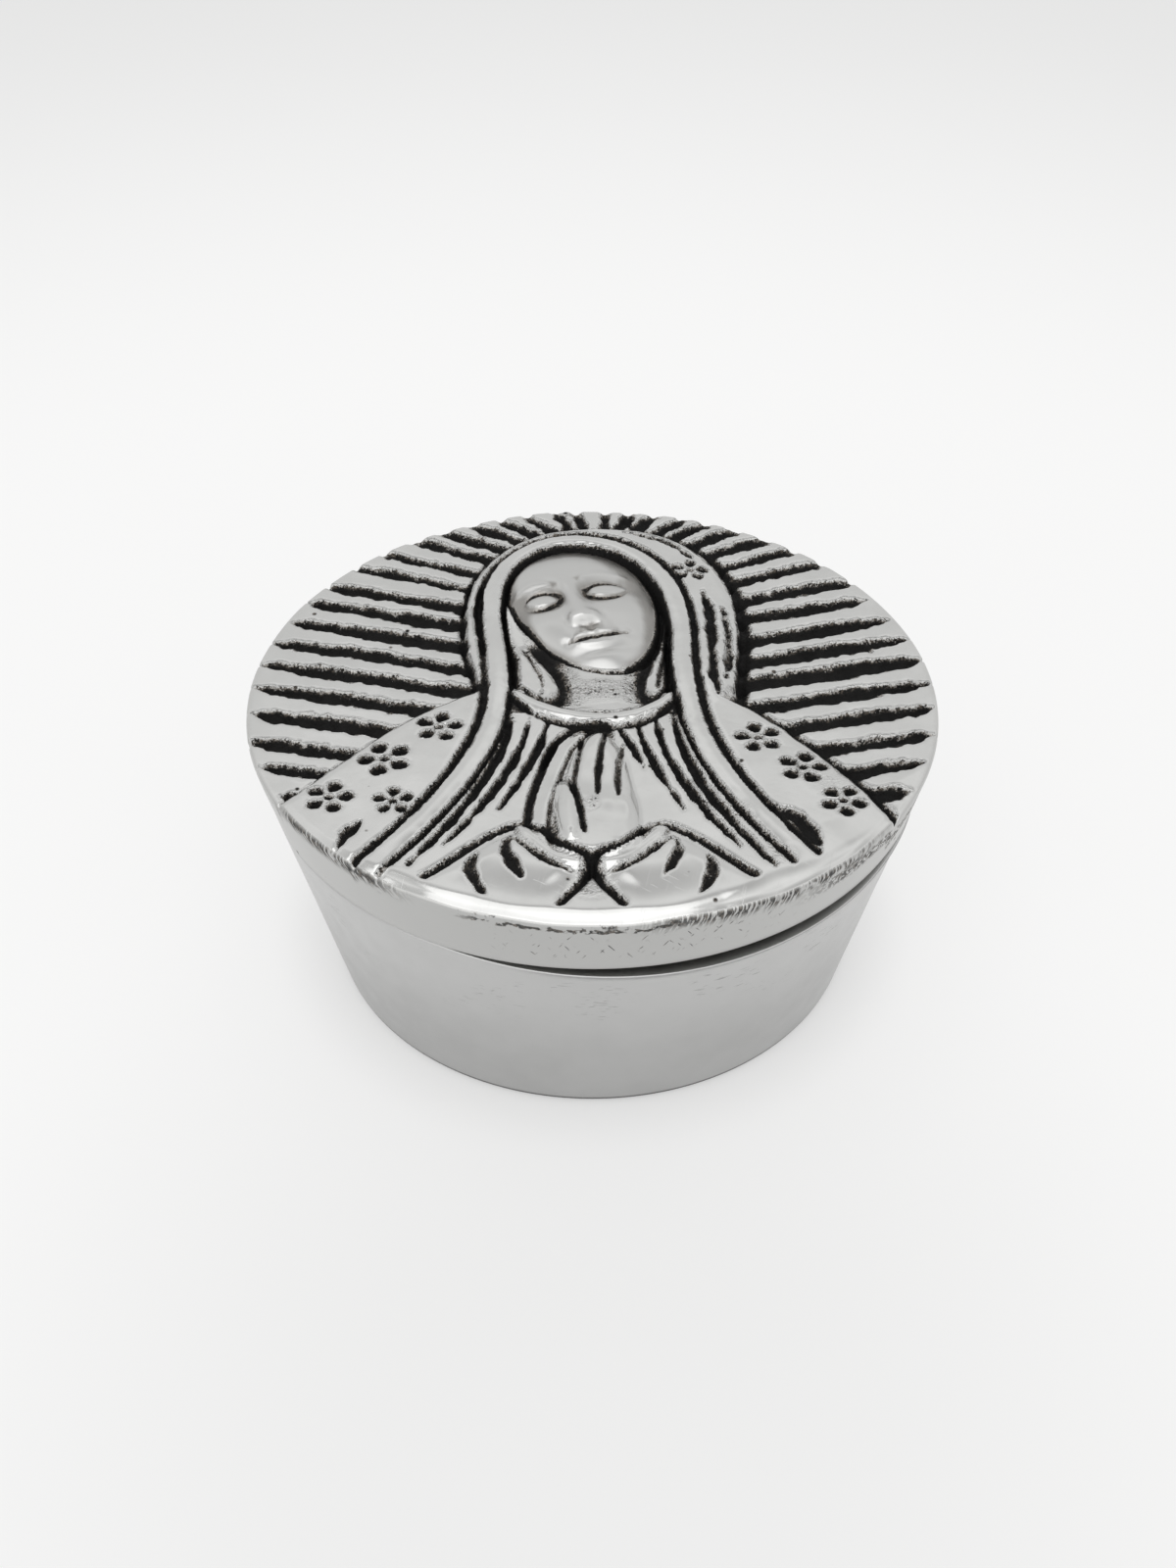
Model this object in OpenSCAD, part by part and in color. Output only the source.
// Round keepsake box in two castings: a tapered body and a lift-off lid.
// The lid's top is a low relief: a veiled figure in prayer before a sunburst.
// +Z is up, the front of the relief faces -Y, and the origin is the base's centre.

/* [Body] */
// Diameter of the flat base
base_d = 86; // [72:1:100]
// Height from the base to the seam under the lid
seam_h = 37; // [28:1:60]
// Thickness of the body's wall, measured level
wall_t = 4; // [3.25:0.25:6]
// Thickness of the floor
floor_t = 4.5; // [3:0.25:7]
// Depth of the low spot that hand grinding left in the body's rim
dip_depth = 2.4; // [0.2:0.1:3]
// Direction of the low spot, counted from +X
dip_direction = -57; // [-90:1:0]
// Half of the arc that the low spot takes in the rim
dip_half_arc = 58; // [30:1:75]

/* [Lid] */
// Diameter across the lid's top edge
lid_d = 108; // [98:1:130]
// Height of the lid's side, from the seam to the top edge
lid_h = 10; // [8:0.5:14]
// Thickness of the lid's plate, from the ray tops to its underside
plate_t = 5; // [4:0.25:6.5]
// Depth of the locating ring below the seam
ring_depth = 4.5; // [3:0.25:8]
// Thickness of the locating ring
ring_t = 3.5; // [2.5:0.25:5]
// Gap between the locating ring and the mouth, on each side
ring_gap = 0.5; // [0.3:0.05:1]

/* [Relief] */
// Number of grooves on each side of the sunburst
rays_a_side = 19; // [12:1:23]
// Depth of the sunburst's grooves
ray_depth = 1.6; // [0.8:0.1:2.4]
// Width of a groove where it meets the figure
ray_w = 2.8; // [1.6:0.1:3.4]
// Rise of the mantle above the ray tops, at its highest
mantle_rise = 2.2; // [1.6:0.1:3.0]
// Rise of the veil above the ray tops, at its highest
veil_rise = 3.2; // [2.6:0.1:4]
// Rise of the face and the hands above the ray tops, at their highest
face_rise = 4.8; // [3.6:0.1:5.2]
// Width of the bevel that is ground on the lid's front edge
bevel_w = 2; // [0.5:0.1:3]

/* [Hidden] */
$fn = 180;
base_r = base_d / 2;
lid_r = lid_d / 2;
top_h = seam_h + lid_h;
edge_break = 0.8;
inner_fillet = 3;

// Radius of the box's outer cone at height z
function outer_r(z) = base_r + (lid_r - base_r) * z / top_h;
seam_r = outer_r(seam_h);
mouth_depth = ring_depth + 0.5;
mouth_z = seam_h - mouth_depth;
mouth_r = seam_r - wall_t;
ledge_r = min(outer_r(mouth_z) - wall_t, mouth_r - 0.5);
ring_r = mouth_r - ring_gap;
pocket_z = top_h - plate_t;

// The relief is drawn for a lid of this diameter, and grows with the lid
drawn_d = 108;
drawing_k = lid_d / drawn_d;

// Outlines of the figure, in millimetres from the lid's centre
VEIL = [
    [-15.6, -7], [-18.4, 3], [-20.4, 14], [-20.2, 27], [-16.6, 37], [-9, 44], [1.5, 46],
    [11.5, 44], [18.8, 37.6], [22.6, 28], [23.6, 17], [22.8, 6], [21, -6], [12, -16],
    [0, -20], [-10, -16]
];
MANTLE = [
    [-60, -45], [-46.5, -30.5], [-37.5, -20], [-29, -10.5], [-20.5, -4], [-12, 0], [2, 2],
    [16, -1], [24.5, -6.8], [31.5, -14.5], [38, -23.5], [44.5, -33], [60, -50], [0, -80]
];
HEM = [
    [-37, -50], [-25, -34], [-15.8, -13], [-14.6, -3], [-15.2, 7], [-16.4, 17], [-16, 27],
    [-12.8, 35], [-6.4, 40], [1.2, 39.6], [7.8, 35], [12.2, 27], [14.2, 16.5], [14.2, 6],
    [14.8, -4], [16.6, -14], [25.6, -34], [37.6, -50]
];
DRAPERY_FOLDS = [
    [[5.5, 43.4], [12, 41], [16.6, 35.4]],
    [[19, 36], [20.8, 31], [21, 25]],
    [[16.9, 25], [17.8, 6], [19.2, -3.4]],
    [[21, 19], [21.7, 10], [20.7, 0.6]],
    [[-18.1, 30], [-18.6, 19], [-16.9, 7]],
    [[-31.5, -32], [-33.6, -35], [-35, -38.4]],
    [[26, -29.6], [29.8, -33.2], [32.2, -37.6]]
];
// The right half of what lies alike on both sides of the figure
ROBE_FOLDS = [
    [[12.2, -8], [12.8, -15], [15.2, -24], [25.4, -42.6]],
    [[9.8, -9.6], [10.4, -16], [12.7, -24], [20, -37.6]],
    [[7.4, -10.8], [8.6, -17], [12.8, -29.6]]
];
SLEEVE = [[4.8, -40.2], [9.2, -35.2], [13.8, -37], [20.5, -43.4], [26, -50]];
CUFF = [[1.6, -45.2], [6.4, -42.6], [11.7, -36.9]];
COLLAR = [[-12.6, -2.6], [-9, -6.4], [-3.6, -9.2], [1.4, -10], [6.2, -9], [10.6, -6], [13.2, -2]];
// The near hand; the far one shows past its left edge
HAND = [
    [-5.4, -40], [-5.9, -35], [-5.6, -30], [-4.6, -25], [-2.6, -17.6], [-0.4, -14.4],
    [1, -13.7], [2.4, -14.6], [4.4, -18.4], [5.9, -25], [6.7, -30], [7.2, -35],
    [6.8, -40], [2.8, -42.4], [-2.4, -42.4]
];
FAR_HAND_SHIFT = [-2.7, 0.9];
HAND_LINES = [
    [[-1.6, -15.2], [-1.9, -19.5], [-2.8, -28.4]],
    [[2, -13.4], [1.4, -18.5], [0.8, -29.2]],
    [[4.6, -16.4], [4, -20.6], [3.8, -29.4]],
    [[-1, -37.6], [-2.4, -29.2], [-4.6, -24.2]]
];
// Centre, and radius in place of the third coordinate
BLOSSOMS = [
    [-23.2, -11.8, 3.0], [-30.8, -19.4, 3.4], [-38.2, -28, 3.1], [-26.4, -27, 2.9],
    [25, -14, 3.0], [31.4, -20.8, 3.4], [36.6, -28.4, 2.9], [18.4, 31.4, 2.4]
];
FACE_AT = [-1.4, 20.6];
FACE_R = [11.6, 16.8];
FACE_TILT = 14;
HAND_MIDDLE = [1, -28];
HAND_HALF_LENGTH = 14;
MANTLE_MIDDLE = [0, -14];
VEIL_MIDDLE = [1, 14];
// How far a raised field's top falls, and over what distance from its middle
MANTLE_DOME = [1.7, 50];
VEIL_DOME = [1.6, 34];
FACE_DOME = [2.2, 16];
HAND_DOME = [1.6, 16];
FAR_HAND_DOME = [1.2, 15];
// The hands lie lower than the face by this
HAND_DROP = 0.8;
// Room round the face and the hands
FORM_MARGIN = 0.8;
HEM_W = 3.4;
HEM_GROOVE_W = 0.9;
FOLD_W = 1.4;
FINE_W = 1;
FINE_DEPTH = 1.6;
// Heights above the ray tops that lines are cut down to
LINE_Z = 0.8;
ROBE_LINE_Z = 0.6;
COLLAR_LINE_Z = 1;

// A point of the curve through b and c, at t from 0 to 1, by Catmull and Rom's rule
function between(a, b, c, d, t) =
    0.5 * (2 * b + (c - a) * t + (2 * a - 5 * b + 4 * c - d) * t * t
    + (3 * b - a - 3 * c + d) * t * t * t);

// Points of an open curve through all of p, with n to each stretch
function open_curve(p, n = 5) =
    let (last = len(p) - 1)
    concat(
        [
            for (i = [0 : last - 1], j = [0 : n - 1])
                between(p[max(i - 1, 0)], p[i], p[i + 1], p[min(i + 2, last)], j / n)
        ],
        [p[last]]
    );

// Points of a closed curve through all of p
function closed_curve(p, n = 5) =
    let (m = len(p))
    [
        for (i = [0 : m - 1], j = [0 : n - 1])
            between(p[(i + m - 1) % m], p[i], p[(i + 1) % m], p[(i + 2) % m], j / n)
    ];

// The unit vector to the left of the way from a to b
function left_of(a, b) = let (d = b - a) [-d.y, d.x] / norm(d);

// Half of a groove's width at share t of its length, which tapers at both ends
function half_width(w, t) = w / 2 * pow(sin(180 * min(max(t, 0.04), 0.96)), 0.35);

// The outline of a groove of width w along the points c
function groove_outline(c, w) =
    let (
        last = len(c) - 1,
        side = [for (i = [0 : last]) left_of(c[max(i - 1, 0)], c[min(i + 1, last)])]
    )
    concat(
        [for (i = [0 : last]) c[i] + side[i] * half_width(w, i / last)],
        [for (i = [last : -1 : 0]) c[i] - side[i] * half_width(w, i / last)]
    );

// The sunburst fans out from above the head, the grooves ever wider apart
ray_first = 2.6;
ray_last = 117.5;
ray_bend = 0.17;
ray_focus_x = 1;
ray_focus_drop = 12.5;
ray_focus_share = 0.95;
ray_tip_w = 0.7;
ray_margin = 1.4;
ray_overrun = 2;

// How far groove i swings from straight back, in degrees
function ray_swing(i) =
    let (t = i / (rays_a_side - 1))
    ray_first + (ray_last - ray_first) * ((1 - ray_bend) * t + ray_bend * t * t);

// Outer end of the groove at angle a: it stops short of the rim at the sides,
// and runs out through it at the back
function ray_end(a) =
    drawn_d / 2 - ray_margin + (ray_margin + ray_overrun) * max(0, min(1, (sin(a) - 0.45) / 0.2));

// The point that the groove at angle a heads for
function ray_focus(a) = [ray_focus_x, ray_focus_share * drawn_d / 2 * sin(a) - ray_focus_drop];

// One groove of the sunburst, seen from above
module ray_outline(a) {
    tip = ray_end(a) * [cos(a), sin(a)];
    focus = ray_focus(a);
    inner = tip + (focus - tip) * 0.75;
    mid = tip + (focus - tip) * 0.2;
    side = left_of(tip, focus);
    polygon([
        tip + side * ray_tip_w / 2, mid + side * ray_w * 0.4, inner + side * ray_w / 2,
        inner - side * ray_w / 2, mid - side * ray_w * 0.4, tip - side * ray_tip_w / 2
    ]);
}

// A blossom of round petals, seen from above: each petal has four points
module blossom_outline(r) {
    petals = 5;
    step = 360 / petals;
    profile = [[-0.5, 0.42], [-0.28, 0.88], [0, 1], [0.28, 0.88]];
    polygon([
        for (i = [0 : petals - 1], q = profile)
            r * q.y * [cos(90 + (i + q.x) * step), sin(90 + (i + q.x) * step)]
    ]);
}

// A raised field with this outline, whose top swells to z at its middle
module swelling(z, dome, middle) {
    drop = dome[0];
    span = dome[1];
    ball_r = (span * span + drop * drop) / (2 * drop);
    intersection() {
        translate([0, 0, -ray_depth - 1])
            linear_extrude(z + ray_depth + 3)
                children();
        translate([middle.x, middle.y, z - ball_r])
            sphere(ball_r, $fn = 240);
    }
}

// A prism with this outline, that cuts down to z
module carving(z) {
    translate([0, 0, z])
        linear_extrude(face_rise + 3 - z)
            children();
}

module face_outline(margin) {
    translate(FACE_AT)
        rotate(FACE_TILT)
            polygon([
                for (a = [0 : 10 : 350])
                    [(FACE_R.x + margin) * cos(a), (FACE_R.y + margin) * sin(a)]
            ]);
}

module lid_disc() {
    circle(drawn_d / 2 - edge_break);
}

// What lies alike on both sides of the figure
module both_sides() {
    for (side = [0, 1])
        mirror([side, 0, 0])
            children();
}

module folds(lines, w) {
    for (points = lines)
        polygon(groove_outline(open_curve(points), w));
}

// The two grooves beside the rolled hem
module hem_grooves() {
    line = open_curve(HEM);
    difference() {
        polygon(groove_outline(line, HEM_W + 2 * HEM_GROOVE_W));
        polygon(groove_outline(line, HEM_W));
    }
}

module hand_outline(margin) {
    translate(HAND_MIDDLE)
        scale(1 + margin / HAND_HALF_LENGTH)
            translate(-HAND_MIDDLE)
                polygon(closed_curve(HAND));
}

// The veil, the mantle and the robe, with their hems, folds and blossoms cut in
module drapery() {
    difference() {
        union() {
            swelling(mantle_rise, MANTLE_DOME, MANTLE_MIDDLE)
                intersection() {
                    polygon(closed_curve(MANTLE));
                    lid_disc();
                }
            swelling(veil_rise, VEIL_DOME, VEIL_MIDDLE)
                intersection() {
                    polygon(closed_curve(VEIL));
                    lid_disc();
                }
        }
        carving(LINE_Z) {
            hem_grooves();
            folds(DRAPERY_FOLDS, FOLD_W);
            both_sides() folds([SLEEVE, CUFF], FOLD_W);
            for (b = BLOSSOMS) translate([b.x, b.y]) blossom_outline(b.z);
            face_outline(FORM_MARGIN);
            hand_outline(FORM_MARGIN);
            translate(FAR_HAND_SHIFT) hand_outline(FORM_MARGIN);
        }
        carving(ROBE_LINE_Z) both_sides() folds(ROBE_FOLDS, FOLD_W);
        carving(COLLAR_LINE_Z) folds([COLLAR], FOLD_W);
    }
}

module face() {
    swelling(face_rise, FACE_DOME, FACE_AT)
        face_outline(0);
}

module hands() {
    hand_rise = face_rise - HAND_DROP;
    swelling(mantle_rise, FAR_HAND_DOME, HAND_MIDDLE + FAR_HAND_SHIFT)
        translate(FAR_HAND_SHIFT) hand_outline(0);
    difference() {
        swelling(hand_rise, HAND_DOME, HAND_MIDDLE)
            hand_outline(0);
        carving(hand_rise - FINE_DEPTH) folds(HAND_LINES, FINE_W);
    }
}

module sunburst_grooves() {
    translate([0, 0, -ray_depth])
        linear_extrude(ray_depth + 1)
            for (i = [0 : rays_a_side - 1], side = [1, -1])
                ray_outline(90 + side * ray_swing(i));
}

// The plate, side and locating ring of the lid, before its relief
module lid_shell() {
    rotate_extrude()
        polygon([
            [0, pocket_z], [ring_r - ring_t, pocket_z], [ring_r - ring_t, seam_h - ring_depth],
            [ring_r - edge_break, seam_h - ring_depth], [ring_r, seam_h - ring_depth + edge_break],
            [ring_r, seam_h], [seam_r, seam_h], [outer_r(top_h - edge_break), top_h - edge_break],
            [lid_r - edge_break, top_h], [0, top_h]
        ]);
}

// What grinding took off the lid's front edge: the space outside a cone whose
// axis stands a little behind the lid's own
module ground_front() {
    shift = 2;
    slope = 0.6;
    front_rise = 1.2;
    below = 3;
    above = 6;
    around = 10;
    meet_r = lid_r - bevel_w + shift;
    difference() {
        translate([0, 0, top_h - below]) cylinder(h = below + above - 1, r = lid_r + around);
        translate([0, shift, top_h - below])
            cylinder(
                h = below + above,
                r1 = meet_r + (front_rise + below) / slope,
                r2 = meet_r - (above - front_rise) / slope
            );
    }
}

module lid() {
    color("lightgray")
        difference() {
            union() {
                difference() {
                    lid_shell();
                    translate([0, 0, top_h]) scale(drawing_k) sunburst_grooves();
                }
                translate([0, 0, top_h]) scale(drawing_k) {
                    drapery();
                    face();
                    hands();
                }
            }
            ground_front();
        }
}

// What hand grinding took off the rim: the space above a sloping plane
module rim_dip() {
    start = seam_r * cos(dip_half_arc);
    slope = atan(dip_depth / (seam_r - start));
    rotate(dip_direction)
        translate([start, 0, seam_h])
            rotate([0, slope, 0])
                translate([-lid_r, -lid_d, 0])
                    cube([3 * lid_r, 2 * lid_d, seam_h]);
}

module box_body() {
    floor_r = outer_r(floor_t) - wall_t;
    fillet = min(inner_fillet, (mouth_z - floor_t) / 2);
    color("silver")
        difference() {
            rotate_extrude()
                polygon(concat(
                    [
                        [0, 0], [base_r - edge_break, 0], [outer_r(edge_break), edge_break],
                        [seam_r, seam_h], [mouth_r, seam_h], [mouth_r, mouth_z], [ledge_r, mouth_z]
                    ],
                    [
                        for (a = [0 : 15 : 90])
                            [floor_r - fillet * (1 - cos(a)), floor_t + fillet * (1 - sin(a))]
                    ],
                    [[0, floor_t]]
                ));
            rim_dip();
        }
}

box_body();
lid();
